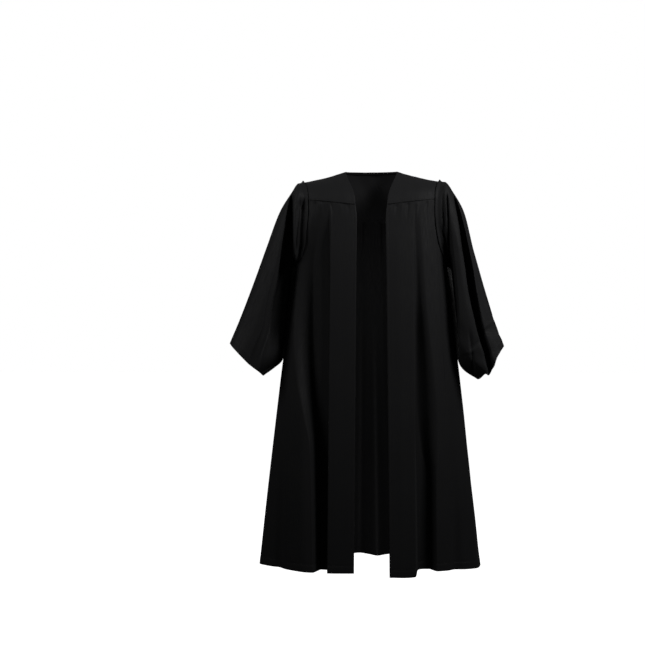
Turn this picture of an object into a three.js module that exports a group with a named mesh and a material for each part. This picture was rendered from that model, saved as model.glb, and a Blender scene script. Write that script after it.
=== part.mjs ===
import * as THREE from "three";

// Graduation gown, filled out as worn. Millimetres, +Z up, front towards -Y, the wearer's left at +X.
// The origin is midway between the two points where the shoulder seams meet the neck.

const CLOTH = 1.2;
const SEAM_GAP = 0.4;
const SIDE_SEAM_GAP = 0.6;

const NECK_HALF_WIDTH = 85;
const NECK_Y = 8;
const BACK_NECK_DEPTH = 64;
const BACK_NECK_RISE = 8;
const BACK_NECK_TILT = 62;
const NECK_POINT_TILT = 30;
const SHOULDER_TILT = 9;
const SHOULDER_HALF_WIDTH = 225;
const SHOULDER_Y = 4;
const SHOULDER_DROP = 35.5;
const SHOULDER_DIP = 3;

const FRONT_YOKE_DROP_EDGE = 122;
const FRONT_YOKE_DROP_ARM = 103;
const BACK_YOKE_DROP_CENTRE = 152;
const BACK_YOKE_DROP_ARM = 140;
const YOKE_SEAM_LEAN = 0.2;
const UNDERARM_DROP = 312;
const FOLD_WIDTH_AT_YOKE = 0.6;
const FRONT_ARM_THREAD = 0.665;
const BACK_ARM_THREAD = 0.33;
const ARMHOLE_POWER = 3;

const BINDING_WIDTH = 8;
const BINDING_GAP = 0.9;
const CLOTH_BLACK = 0x17171a;
const BINDING_BLACK = 0x0d0d0f;

// Body sections: how far below the origin, half the width, reach of the front and the back from the
// side seams, power of the rounded-square outline, half the front opening and sideways sway.
const BODY_SECTIONS = [
  { drop: 100, half: 228, front: 103, back: 104, power: 4.0, opening: 55, sway: 0 },
  { drop: 165, half: 234, front: 112, back: 112, power: 3.6, opening: 47, sway: 0 },
  { drop: 312, half: 249, front: 127, back: 124, power: 3.0, opening: 48, sway: -1 },
  { drop: 660, half: 288, front: 142, back: 147, power: 2.6, opening: 51, sway: -3 },
  { drop: 1320, half: 365, front: 166, back: 186, power: 2.15, opening: 56, sway: -7 },
];

// Threads fall from yoke to hem and are counted round the body: 0 the right front edge, 1 the right
// side seam, 2 the centre back, 3 the left side seam, 4 the left front edge.
const HEM = [
  { thread: 0, drop: 1299 },
  { thread: 0.3, drop: 1301 },
  { thread: 0.5, drop: 1300 },
  { thread: 1, drop: 1292 },
  { thread: 2, drop: 1301 },
  { thread: 3, drop: 1298 },
  { thread: 3.55, drop: 1293 },
  { thread: 3.66, drop: 1296 },
  { thread: 3.7, drop: 1310 },
  { thread: 4, drop: 1311 },
];

// Body folds, one row for each: thread at the yoke and at the hem, depth in the yoke and at the hem
// (troughs below nought), half-widths on the lower-thread side and on the higher, sideways lean at
// the hem, and the drops where the fold begins and is full.
const BODY_FOLDS = [
  { yoke: 0.66, hem: 0.5, top: 3, foot: 6, before: 22, after: 34, lean: 0, begin: 320, full: 900 },
  { yoke: 0.86, hem: 0.74, top: 6, foot: -12, before: 26, after: 24, lean: 0, begin: 330, full: 1250 },
  { yoke: 0.93, hem: 0.9, top: 6, foot: 8, before: 22, after: 18, lean: 0, begin: 340, full: 700 },
  { yoke: 1.22, hem: 1.12, top: -4, foot: -20, before: 24, after: 30, lean: 0, begin: 330, full: 1000 },
  { yoke: 1.42, hem: 1.33, top: 3, foot: 18, before: 20, after: 24, lean: 6, begin: 170, full: 900 },
  { yoke: 1.53, hem: 1.47, top: -4, foot: -30, before: 20, after: 26, lean: 0, begin: 160, full: 900 },
  { yoke: 1.66, hem: 1.63, top: 4, foot: 16, before: 22, after: 22, lean: -5, begin: 160, full: 850 },
  { yoke: 1.78, hem: 1.77, top: -4, foot: -27, before: 22, after: 20, lean: 0, begin: 160, full: 950 },
  { yoke: 1.9, hem: 1.91, top: 4, foot: 18, before: 20, after: 24, lean: 5, begin: 160, full: 800 },
  { yoke: 2.03, hem: 2.06, top: -4, foot: -31, before: 24, after: 22, lean: 0, begin: 160, full: 1000 },
  { yoke: 2.17, hem: 2.2, top: 4, foot: 15, before: 20, after: 20, lean: -4, begin: 160, full: 850 },
  { yoke: 2.29, hem: 2.33, top: -4, foot: -25, before: 20, after: 24, lean: 0, begin: 160, full: 900 },
  { yoke: 2.43, hem: 2.5, top: 4, foot: 19, before: 24, after: 22, lean: 5, begin: 160, full: 950 },
  { yoke: 2.56, hem: 2.65, top: -4, foot: -29, before: 22, after: 22, lean: 0, begin: 170, full: 900 },
  { yoke: 2.78, hem: 2.86, top: 3, foot: -14, before: 26, after: 24, lean: 0, begin: 330, full: 1100 },
  { yoke: 3.1, hem: 3.14, top: 5, foot: 7, before: 20, after: 26, lean: 0, begin: 340, full: 900 },
  { yoke: 3.2, hem: 3.32, top: 2, foot: -12, before: 22, after: 22, lean: 0, begin: 500, full: 1200 },
  { yoke: 3.45, hem: 3.49, top: 3, foot: 6, before: 30, after: 20, lean: 0, begin: 320, full: 950 },
];

// The pleat beside each front band, by drop: distances of its two edges from the front edge of the gown,
// its depth, and how wide the cloth takes to turn in at each edge.
const PLEAT_RIGHT = [
  { drop: 122, inner: 83, outer: 112, depth: 0, innerWall: 7, outerWall: 30 },
  { drop: 180, inner: 83, outer: 142, depth: 8, innerWall: 7, outerWall: 44 },
  { drop: 300, inner: 83, outer: 186, depth: 30, innerWall: 8, outerWall: 64 },
  { drop: 430, inner: 83, outer: 192, depth: 44, innerWall: 8, outerWall: 60 },
  { drop: 560, inner: 83, outer: 187, depth: 52, innerWall: 9, outerWall: 54 },
  { drop: 690, inner: 83, outer: 172, depth: 54, innerWall: 10, outerWall: 44 },
  { drop: 800, inner: 83, outer: 152, depth: 55, innerWall: 10, outerWall: 28 },
  { drop: 900, inner: 83, outer: 137, depth: 56, innerWall: 10, outerWall: 16 },
  { drop: 1320, inner: 83, outer: 123, depth: 56, innerWall: 10, outerWall: 12 },
];
const PLEAT_LEFT = [
  { drop: 122, inner: 88, outer: 100, depth: 0, innerWall: 7, outerWall: 18 },
  { drop: 180, inner: 88, outer: 104, depth: 3, innerWall: 7, outerWall: 20 },
  { drop: 300, inner: 88, outer: 110, depth: 7, innerWall: 8, outerWall: 24 },
  { drop: 430, inner: 88, outer: 115, depth: 14, innerWall: 8, outerWall: 30 },
  { drop: 560, inner: 87, outer: 121, depth: 28, innerWall: 9, outerWall: 44 },
  { drop: 760, inner: 86, outer: 133, depth: 34, innerWall: 9, outerWall: 66 },
  { drop: 900, inner: 84, outer: 140, depth: 36, innerWall: 12, outerWall: 50 },
  { drop: 1010, inner: 82, outer: 148, depth: 37, innerWall: 18, outerWall: 16 },
  { drop: 1320, inner: 82, outer: 148, depth: 38, innerWall: 20, outerWall: 12 },
];

// Sleeve stations from the armhole to the cuff: share of the length, distance from the centre line and
// drop of the outer fold and of the underarm fold, half the depth from front to back, middle of the depth.
const SLEEVE_RIGHT = [
  { share: 0.05, outer: 231, outerDrop: 45, inner: 252, innerDrop: 338, depth: 103, mid: 2 },
  { share: 0.13, outer: 258, outerDrop: 70, inner: 246, innerDrop: 366, depth: 104, mid: 2 },
  { share: 0.26, outer: 299, outerDrop: 140, inner: 236, innerDrop: 410, depth: 105, mid: 2 },
  { share: 0.45, outer: 342, outerDrop: 256, inner: 226, innerDrop: 474, depth: 106, mid: 1 },
  { share: 0.65, outer: 381, outerDrop: 365, inner: 232, innerDrop: 548, depth: 108, mid: -1 },
  { share: 0.85, outer: 426, outerDrop: 485, inner: 270, innerDrop: 628, depth: 109, mid: -4 },
  { share: 1, outer: 461, outerDrop: 574, inner: 357, innerDrop: 679, depth: 110, mid: -9 },
];
const SLEEVE_LEFT = [
  { share: 0.05, outer: 232, outerDrop: 42, inner: 252, innerDrop: 338, depth: 103, mid: 2 },
  { share: 0.13, outer: 260, outerDrop: 66, inner: 246, innerDrop: 366, depth: 104, mid: 2 },
  { share: 0.26, outer: 301, outerDrop: 140, inner: 236, innerDrop: 410, depth: 105, mid: 2 },
  { share: 0.45, outer: 334, outerDrop: 268, inner: 226, innerDrop: 482, depth: 106, mid: 1 },
  { share: 0.65, outer: 364, outerDrop: 378, inner: 232, innerDrop: 566, depth: 108, mid: -1 },
  { share: 0.85, outer: 400, outerDrop: 497, inner: 272, innerDrop: 652, depth: 109, mid: -4 },
  { share: 1, outer: 428, outerDrop: 578, inner: 348, innerDrop: 690, depth: 110, mid: -9 },
];

// Sleeve folds: angle round the sleeve in degrees at the armhole and at the cuff (0 the outer fold,
// 90 the front, 180 the underarm), depth at the cuff, half-widths in degrees, extra length at the cuff,
// and the shares of the length where the fold begins and is full.
const SLEEVE_FOLDS_RIGHT = [
  { head: 26, cuff: 34, depth: 8, before: 20, after: 14, longer: 0, begin: 0.04, full: 0.3 },
  { head: 215, cuff: 222, depth: -14, before: 20, after: 18, longer: 0, begin: 0.12, full: 0.8 },
  { head: 250, cuff: 256, depth: 8, before: 16, after: 18, longer: 4, begin: 0.1, full: 0.7 },
  { head: 285, cuff: 292, depth: -26, before: 18, after: 20, longer: 0, begin: 0.06, full: 0.7 },
  { head: 330, cuff: 328, depth: 6, before: 16, after: 20, longer: 3, begin: 0.05, full: 0.6 },
];
const SLEEVE_FOLDS_LEFT = [
  { head: 26, cuff: 40, depth: 6, before: 12, after: 8, longer: 0, begin: 0.04, full: 0.2 },
  { head: 80, cuff: 96, depth: 6, before: 10, after: 16, longer: 26, begin: 0.04, full: 0.3 },
  { head: 222, cuff: 226, depth: -16, before: 18, after: 18, longer: 0, begin: 0.12, full: 0.8 },
  { head: 262, cuff: 262, depth: 9, before: 18, after: 16, longer: 5, begin: 0.1, full: 0.7 },
  { head: 300, cuff: 298, depth: -28, before: 20, after: 18, longer: 0, begin: 0.06, full: 0.7 },
];

// Deep troughs down the fronts of the sleeves, by drop: distances of their edges from the centre line of
// the gown, depth, and how wide the cloth takes to turn in at each edge.
const TROUGH_RIGHT = [
  { drop: 70, inner: 250, outer: 258, depth: 0, innerWall: 8, outerWall: 8 },
  { drop: 95, inner: 250, outer: 264, depth: 18, innerWall: 8, outerWall: 8 },
  { drop: 150, inner: 250, outer: 274, depth: 52, innerWall: 10, outerWall: 9 },
  { drop: 200, inner: 250, outer: 281, depth: 74, innerWall: 10, outerWall: 9 },
  { drop: 270, inner: 248, outer: 294, depth: 86, innerWall: 10, outerWall: 10 },
  { drop: 340, inner: 240, outer: 308, depth: 92, innerWall: 10, outerWall: 11 },
  { drop: 430, inner: 230, outer: 331, depth: 92, innerWall: 10, outerWall: 12 },
  { drop: 530, inner: 220, outer: 347, depth: 84, innerWall: 10, outerWall: 18 },
  { drop: 575, inner: 220, outer: 362, depth: 72, innerWall: 10, outerWall: 26 },
  { drop: 620, inner: 220, outer: 378, depth: 60, innerWall: 10, outerWall: 34 },
  { drop: 690, inner: 220, outer: 390, depth: 50, innerWall: 10, outerWall: 40 },
];
const TROUGH_LEFT = [
  { drop: 70, inner: 254, outer: 262, depth: 0, innerWall: 7, outerWall: 8 },
  { drop: 90, inner: 260, outer: 269, depth: 10, innerWall: 7, outerWall: 8 },
  { drop: 155, inner: 273, outer: 286, depth: 34, innerWall: 7, outerWall: 12 },
  { drop: 243, inner: 286, outer: 304, depth: 48, innerWall: 7, outerWall: 16 },
  { drop: 340, inner: 300, outer: 322, depth: 52, innerWall: 7, outerWall: 16 },
  { drop: 394, inner: 307, outer: 329, depth: 52, innerWall: 7, outerWall: 16 },
  { drop: 462, inner: 320, outer: 341, depth: 50, innerWall: 7, outerWall: 16 },
  { drop: 533, inner: 335, outer: 355, depth: 46, innerWall: 7, outerWall: 16 },
  { drop: 588, inner: 351, outer: 371, depth: 38, innerWall: 7, outerWall: 16 },
  { drop: 660, inner: 368, outer: 390, depth: 30, innerWall: 7, outerWall: 16 },
];
const TROUGH_LEFT_INNER = [
  { drop: 150, inner: 150, outer: 252, depth: 0, innerWall: 10, outerWall: 8 },
  { drop: 200, inner: 150, outer: 255, depth: 2, innerWall: 10, outerWall: 8 },
  { drop: 259, inner: 150, outer: 259, depth: 16, innerWall: 10, outerWall: 8 },
  { drop: 339, inner: 150, outer: 266, depth: 48, innerWall: 10, outerWall: 8 },
  { drop: 446, inner: 150, outer: 275, depth: 60, innerWall: 10, outerWall: 8 },
  { drop: 517, inner: 150, outer: 277, depth: 60, innerWall: 10, outerWall: 8 },
  { drop: 582, inner: 150, outer: 279, depth: 54, innerWall: 10, outerWall: 8 },
  { drop: 643, inner: 150, outer: 281, depth: 46, innerWall: 10, outerWall: 8 },
  { drop: 700, inner: 150, outer: 286, depth: 40, innerWall: 10, outerWall: 8 },
];
const SLEEVE_POWER = 2.8;
const SLEEVE_CLEAR = 11;
const CUFF_LONGER_FROM = 0.6;
const TROUGH_FACING = 1.6;
const TROUGH_BEGINS = 0.03;

// How finely each piece is divided.
const CURVE_STEPS = 64;
const ARMHOLE_COLUMNS = 5;
const FRONT_SHARES = [
  0, 0.15, 0.3, 0.42, 0.46, 0.5, 0.545, 0.59, 0.635, 0.68, 0.725, 0.77, 0.815, 0.86, 0.905, 0.95, 1,
];
const BACK_COLUMNS = 30;
const BODY_ROWS = 11;
const YOKE_ROWS = 5;
const YOKE_COLUMNS = 6;
const SLEEVE_FRONT_STEPS = 3;
const SLEEVE_BACK_STEPS = 2;
const NECK_COLUMNS = 12;
const SLEEVE_SHARES = [0, 0.03, 0.07, 0.13, 0.21, 0.31, 0.42, 0.54, 0.66, 0.78, 0.89, 1];

const RIGHT = -1;
const LEFT = 1;
const { lerp, clamp, smoothstep, degToRad } = THREE.MathUtils;
const steps = (count) => Array.from({ length: count + 1 }, (unused, step) => step / count);

// A size read from a table, on a smooth curve through its rows.
function sizeAt(rows, by, key, at) {
  const last = rows.length - 1;
  let row = 0;
  while (row < last - 1 && at > rows[row + 1][by]) {
    row += 1;
  }
  const slope = (index) => {
    const low = rows[Math.max(index - 1, 0)];
    const high = rows[Math.min(index + 1, last)];
    return (high[key] - low[key]) / (high[by] - low[by]);
  };
  const span = rows[row + 1][by] - rows[row][by];
  const share = clamp((at - rows[row][by]) / span, 0, 1);
  return hermite(rows[row][key], span * slope(row), rows[row + 1][key], span * slope(row + 1), share);
}

function hermite(start, startSlope, end, endSlope, share) {
  const rise = share * share * (3 - 2 * share);
  const leave = share * (1 - share) * (1 - share);
  const arrive = share * share * (share - 1);
  return start + (end - start) * rise + startSlope * leave + endSlope * arrive;
}

function hermitePoint(start, startSlope, end, endSlope, share) {
  const axes = ["x", "y", "z"];
  return new THREE.Vector3(
    ...axes.map((axis) => hermite(start[axis], startSlope[axis], end[axis], endSlope[axis], share)),
  );
}

const hump = (from, before, after) => Math.exp(-((from / (from < 0 ? before : after)) ** 2));

// Depth of a pleat at a place across it: full between its two edges.
function pleatDepth(rows, drop, place) {
  const size = (key) => sizeAt(rows, "drop", key, drop);
  const spread = size("outerWall") / 2;
  const turnedIn = smoothstep(place, size("inner"), size("inner") + size("innerWall"));
  const turnedOut = smoothstep(place, size("outer") - spread, size("outer") + spread);
  return size("depth") * turnedIn * (1 - turnedOut);
}

// One quarter of a body section, from the front edge or the centre back to the side seam.
function quarterSection(drop, face) {
  const size = (key) => sizeAt(BODY_SECTIONS, "drop", key, drop);
  const half = size("half");
  const reach = face === "front" ? -size("front") : size("back");
  const inner = face === "front" ? size("opening") : 0;
  const bend = 2 / size("power");
  const first = Math.asin((inner / half) ** (1 / bend));
  const points = steps(CURVE_STEPS).map((share) => {
    const angle = lerp(first, Math.PI / 2, share);
    return new THREE.Vector2(half * Math.sin(angle) ** bend, reach * Math.max(Math.cos(angle), 0) ** bend);
  });
  const along = [0];
  for (let step = 0; step < CURVE_STEPS; step += 1) {
    along.push(along[step] + points[step].distanceTo(points[step + 1]));
  }
  return { points, along, length: along[CURVE_STEPS] };
}

function pointAlong(section, distance) {
  let step = 0;
  while (step < CURVE_STEPS - 1 && distance > section.along[step + 1]) {
    step += 1;
  }
  const share = (distance - section.along[step]) / (section.along[step + 1] - section.along[step]);
  return new THREE.Vector2().lerpVectors(section.points[step], section.points[step + 1], share);
}

// The front band keeps its width from yoke to hem, so the flare is taken up towards the side seam.
function frontDistance(share, length) {
  const atYoke = quarterSection(BODY_SECTIONS[0].drop, "front").length;
  return atYoke * share + (length - atYoke) * share * share;
}

// Distance round the section from the right front edge to a thread.
function distanceRound(thread, front, back) {
  if (thread <= 1) {
    return frontDistance(thread, front);
  }
  if (thread < 3) {
    return front + (thread - 1) * back;
  }
  return 2 * (front + back) - frontDistance(4 - thread, front);
}

// A point of the body on one thread at one drop, with every fold added square to the section.
function bodyPoint(thread, drop) {
  const front = quarterSection(drop, "front");
  const back = quarterSection(drop, "back");
  const round = distanceRound(thread, front.length, back.length);
  const fall = clamp((drop - UNDERARM_DROP) / (HEM[0].drop - UNDERARM_DROP), 0, 1);
  let out = 0;
  let lean = 0;
  for (const fold of BODY_FOLDS) {
    const centre = distanceRound(lerp(fold.yoke, fold.hem, fall), front.length, back.length);
    const widen = lerp(FOLD_WIDTH_AT_YOKE, 1, fall);
    const height = hump(round - centre, fold.before * widen, fold.after * widen);
    const grown = smoothstep(drop, fold.begin, fold.full);
    out += lerp(fold.top, fold.foot, fall) * height * grown;
    lean += fold.lean * height * grown * fall;
  }
  const middle = front.length + back.length;
  out -= pleatDepth(PLEAT_RIGHT, drop, round) + pleatDepth(PLEAT_LEFT, drop, 2 * middle - round);
  const side = thread < 2 ? RIGHT : LEFT;
  const isFront = thread <= 1 || thread >= 3;
  const section = isFront ? front : back;
  const fromMiddle = Math.abs(round - middle);
  const turn = thread < 2 ? 1 : -1;
  const distance = isFront ? middle - fromMiddle + turn * lean : fromMiddle - turn * lean;
  const here = pointAlong(section, distance);
  const along = pointAlong(section, distance + 1).sub(pointAlong(section, distance - 1)).normalize();
  const outward = isFront ? new THREE.Vector2(along.y, -along.x) : new THREE.Vector2(-along.y, along.x);
  const sway = sizeAt(BODY_SECTIONS, "drop", "sway", drop) * smoothstep(2 - Math.abs(thread - 2), 0, 1);
  return new THREE.Vector3(side * (here.x + outward.x * out) + sway, here.y + outward.y * out, -drop);
}

// Share of an armhole's fall at a share of its width from the underarm.
const armholeFall = (across) => Math.max(1 - across ** ARMHOLE_POWER, 0) ** (1 / ARMHOLE_POWER);

// The drop of the top edge of the body: the yoke seams, and the armholes between them.
function topDrop(thread) {
  const share = thread < 2 ? thread : 4 - thread;
  const backStart = 1 + BACK_ARM_THREAD;
  if (share <= FRONT_ARM_THREAD) {
    return lerp(FRONT_YOKE_DROP_EDGE, FRONT_YOKE_DROP_ARM, share / FRONT_ARM_THREAD);
  }
  if (share < 1) {
    const across = (1 - share) / (1 - FRONT_ARM_THREAD);
    return lerp(FRONT_YOKE_DROP_ARM, UNDERARM_DROP, armholeFall(across));
  }
  if (share < backStart) {
    const across = (share - 1) / BACK_ARM_THREAD;
    return lerp(BACK_YOKE_DROP_ARM, UNDERARM_DROP, armholeFall(across));
  }
  return lerp(BACK_YOKE_DROP_ARM, BACK_YOKE_DROP_CENTRE, (share - backStart) / (2 - backStart));
}

// Threads of an armhole edge, closest where the edge falls steeply.
const frontArmThreads = steps(ARMHOLE_COLUMNS).map((share) => {
  return 1 - (1 - FRONT_ARM_THREAD) * Math.cos(share * Math.PI / 2);
});
const backArmThreads = steps(ARMHOLE_COLUMNS).map((share) => {
  return 1 + BACK_ARM_THREAD * Math.sin(share * Math.PI / 2);
});

// A grid of points moved off its own surface, to the outside where the distance is above nought.
function movedOut(rows, distance, isTube = false) {
  const across = rows[0].length;
  const beside = (column) => (isTube ? (column + across) % across : clamp(column, 0, across - 1));
  return rows.map((row, down) => {
    const above = rows[Math.max(down - 1, 0)];
    const below = rows[Math.min(down + 1, rows.length - 1)];
    return row.map((point, column) => {
      const sideways = row[beside(column + 1)].clone().sub(row[beside(column - 1)]);
      const downward = below[column].clone().sub(above[column]);
      return point.clone().add(sideways.cross(downward).setLength(distance));
    });
  });
}

// A wall of cloth about a grid of points, closed at its rims or joined round a tube.
function clothWall(rows, isTube = false) {
  const outer = movedOut(rows, CLOTH / 2, isTube).flat();
  const inner = movedOut(rows, -CLOTH / 2, isTube).flat();
  const across = rows[0].length;
  const count = outer.length;
  const faces = [];
  const edges = new Map();
  const addFace = (a, b, c) => {
    faces.push(a, b, c, c + count, b + count, a + count);
    for (const [from, to] of [[a, b], [b, c], [c, a]]) {
      edges.set(`${from}_${to}`, [from, to]);
    }
  };
  for (let down = 0; down < rows.length - 1; down += 1) {
    for (let column = 0; column < (isTube ? across : across - 1); column += 1) {
      const here = down * across + column;
      const next = down * across + (column + 1) % across;
      addFace(here, next, next + across);
      addFace(here, next + across, here + across);
    }
  }
  for (const [from, to] of edges.values()) {
    if (!edges.has(`${to}_${from}`)) {
      faces.push(to, from, from + count, to, from + count, to + count);
    }
  }
  const geometry = new THREE.BufferGeometry().setFromPoints([...outer, ...inner]);
  geometry.setIndex(faces);
  geometry.computeVertexNormals();
  return geometry;
}

const gown = new THREE.Group();
gown.name = "graduation_gown";

function addPiece(name, geometry, colour = CLOTH_BLACK) {
  const material = new THREE.MeshStandardMaterial({ color: colour, roughness: 0.85 });
  const piece = new THREE.Mesh(geometry, material);
  piece.name = name;
  gown.add(piece);
}

// Front and back panels, from the top edge to the hem.
function bodyPanel(threads, firstThread, lastThread) {
  const rows = steps(BODY_ROWS).map((share) => {
    const points = threads.map((thread) => {
      const top = topDrop(thread) + SEAM_GAP / 2;
      return bodyPoint(thread, lerp(top, sizeAt(HEM, "thread", "drop", thread), share));
    });
    const pull = (end, next, gap) => points[next].clone().sub(points[end]).setLength(gap);
    const last = points.length - 1;
    const isSeam = (thread) => thread === 1 || thread === 3;
    if (isSeam(firstThread)) {
      points[0].add(pull(0, 1, SIDE_SEAM_GAP / 2));
    }
    if (isSeam(lastThread)) {
      points[last].add(pull(last, last - 1, SIDE_SEAM_GAP / 2));
    }
    return points;
  });
  return clothWall(rows);
}

const rightFrontThreads = [
  ...FRONT_SHARES.slice(0, -1).map((share) => share * FRONT_ARM_THREAD),
  ...frontArmThreads,
];
const rightBackThreads = [
  ...backArmThreads.slice(0, -1),
  ...steps(BACK_COLUMNS / 2).map((share) => lerp(1 + BACK_ARM_THREAD, 2, share)),
];
const leftFrontThreads = rightFrontThreads.map((thread) => 4 - thread).reverse();
const backThreads = [
  ...rightBackThreads,
  ...rightBackThreads.slice(0, -1).map((thread) => 4 - thread).reverse(),
];
addPiece("front_right", bodyPanel(rightFrontThreads, 0, 1));
addPiece("front_left", bodyPanel(leftFrontThreads, 3, 4));
addPiece("back", bodyPanel(backThreads, 1, 3));

// Shoulder seam, from the neck to the top of the sleeve.
function shoulderPoint(side, share) {
  return new THREE.Vector3(
    side * lerp(NECK_HALF_WIDTH, SHOULDER_HALF_WIDTH, share),
    lerp(NECK_Y, SHOULDER_Y, share),
    -SHOULDER_DROP * share - SHOULDER_DIP * Math.sin(Math.PI * share),
  );
}

// A yoke falls from its upper edge, at the tilt of the shoulder there, to the yoke seam.
function yokePoint(upper, tilt, thread, forward, share) {
  const lower = bodyPoint(thread, topDrop(thread));
  const fall = upper.distanceTo(lower);
  const angle = degToRad(tilt);
  const leave = new THREE.Vector3(0, forward * Math.cos(angle), -Math.sin(angle)).multiplyScalar(fall);
  const arrive = new THREE.Vector3(0, forward * YOKE_SEAM_LEAN, -1).setLength(fall);
  return hermitePoint(upper, leave, lower, arrive, share);
}

const shoulderTilt = (across) => lerp(NECK_POINT_TILT, SHOULDER_TILT, across);

function frontYokePoint(side, across, down) {
  const thread = FRONT_ARM_THREAD * across;
  const upper = shoulderPoint(side, across);
  return yokePoint(upper, shoulderTilt(across), side === RIGHT ? thread : 4 - thread, -1, down);
}

// The upper edge of the back yoke runs up one shoulder, round the back of the neck and down the other.
function backYokeEdge(turn) {
  const angle = degToRad(turn);
  return new THREE.Vector3(
    NECK_HALF_WIDTH * Math.sin(angle),
    NECK_Y + BACK_NECK_DEPTH * Math.cos(angle),
    BACK_NECK_RISE * Math.cos(angle),
  );
}

const neckThread = 2 - (1 - BACK_ARM_THREAD) * NECK_HALF_WIDTH / SHOULDER_HALF_WIDTH;

function backShoulderPoint(side, across, down) {
  const thread = lerp(neckThread, 1 + BACK_ARM_THREAD, across);
  const upper = shoulderPoint(side, across);
  return yokePoint(upper, shoulderTilt(across), side === RIGHT ? thread : 4 - thread, 1, down);
}

function backNeckPoint(turn, down) {
  const towards = turn / 90;
  const tilt = lerp(BACK_NECK_TILT, NECK_POINT_TILT, towards * towards);
  return yokePoint(backYokeEdge(turn), tilt, 2 + (2 - neckThread) * towards, 1, down);
}

const ridgeShare = SEAM_GAP / FRONT_YOKE_DROP_EDGE;
const seamShare = ridgeShare / 2;
const yokeShares = steps(YOKE_ROWS).map((share) => lerp(ridgeShare, 1 - seamShare, share));
const armShare = SEAM_GAP / 2 / (SHOULDER_HALF_WIDTH - NECK_HALF_WIDTH);
const acrossShares = steps(YOKE_COLUMNS).map((share) => share * (1 - armShare));

for (const [side, name] of [[RIGHT, "yoke_front_right"], [LEFT, "yoke_front_left"]]) {
  const order = side === RIGHT ? acrossShares : [...acrossShares].reverse();
  const rows = yokeShares.map((down) => order.map((across) => frontYokePoint(side, across, down)));
  addPiece(name, clothWall(rows));
}

const neckTurns = steps(NECK_COLUMNS).map((share) => lerp(-90, 90, share));
const backYokeRows = yokeShares.map((down) => [
  ...[...acrossShares].reverse().slice(0, -1).map((across) => backShoulderPoint(RIGHT, across, down)),
  ...neckTurns.map((turn) => backNeckPoint(turn, down)),
  ...acrossShares.slice(1).map((across) => backShoulderPoint(LEFT, across, down)),
]);
addPiece("yoke_back", clothWall(backYokeRows));

// Binding inside the back of the neck, made from the yoke's points and moved in.
const neckColumns = [YOKE_COLUMNS + 1, YOKE_COLUMNS + NECK_COLUMNS];
const bindingTop = backYokeRows[0].slice(...neckColumns);
const bindingFoot = backYokeRows[1].slice(...neckColumns).map((below, column) => {
  const above = bindingTop[column];
  return above.clone().lerp(below, BINDING_WIDTH / above.distanceTo(below));
});
const bindingRows = movedOut([bindingTop, bindingFoot], -CLOTH - BINDING_GAP);
addPiece("back_neck_binding", clothWall(bindingRows), BINDING_BLACK);

// The armhole edge of one side, from the shoulder down the front to the underarm and up the back.
function armholeEdge(side) {
  const onSide = (thread) => (side === RIGHT ? thread : 4 - thread);
  const bodyEdge = (thread) => bodyPoint(onSide(thread), topDrop(onSide(thread)));
  const front = [
    ...steps(YOKE_ROWS).slice(0, -1).map((down) => frontYokePoint(side, 1, down)),
    ...frontArmThreads.map(bodyEdge),
  ];
  const back = [
    ...backArmThreads.slice(0, -1).map(bodyEdge),
    ...steps(YOKE_ROWS).reverse().map((down) => backShoulderPoint(side, 1, down)),
  ];
  return [...divided(front, 0, SLEEVE_FRONT_STEPS), ...divided(back, 1 / 2, SLEEVE_BACK_STEPS)];
}

// A line of points with each of its steps divided, and their places round the sleeve from 0 to 1.
function divided(points, first, parts) {
  const line = points.slice(0, -1).flatMap((point, step) => {
    return steps(parts).slice(0, -1).map((share) => point.clone().lerp(points[step + 1], share));
  });
  const along = [0];
  for (const [step, point] of line.entries()) {
    along.push(along[step] + point.distanceTo(line[step + 1] ?? points.at(-1)));
  }
  return line.map((point, step) => ({ point, round: first + along[step] / along.at(-1) / 2 }));
}

// A ring of the sleeve at one station: a rounded square between the outer and the underarm folds.
function ringPoint(side, station, turn, out) {
  const outer = new THREE.Vector2(station.outer, -station.outerDrop);
  const inner = new THREE.Vector2(station.inner, -station.innerDrop);
  const middle = outer.clone().add(inner).multiplyScalar(0.5);
  const reach = outer.distanceTo(inner) / 2;
  const towards = outer.sub(inner).normalize();
  const bend = 2 / SLEEVE_POWER;
  const [cosine, sine] = [Math.cos(turn), Math.sin(turn)];
  const square = (value, size) => Math.sign(value) * size * Math.abs(value) ** bend;
  const outward = new THREE.Vector2(cosine / reach, sine / station.depth).setLength(out);
  const along = square(cosine, reach) + outward.x;
  const forward = square(sine, station.depth) + outward.y;
  const [y, z] = [station.mid - forward, middle.y + towards.y * along];
  return new THREE.Vector3(side * clearOfBody(middle.x + towards.x * along, y, -z), y, z);
}

// Where the sleeve would press into the side of the body it lies along it, a little way off.
function clearOfBody(x, y, drop) {
  const size = (key) => sizeAt(BODY_SECTIONS, "drop", key, drop);
  const reach = Math.min(Math.abs(y) / size(y < 0 ? "front" : "back"), 1);
  const least = size("half") * (1 - reach ** size("power")) ** (1 / size("power")) + SLEEVE_CLEAR;
  return (x + least + Math.hypot(x - least, SLEEVE_CLEAR)) / 2;
}

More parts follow.
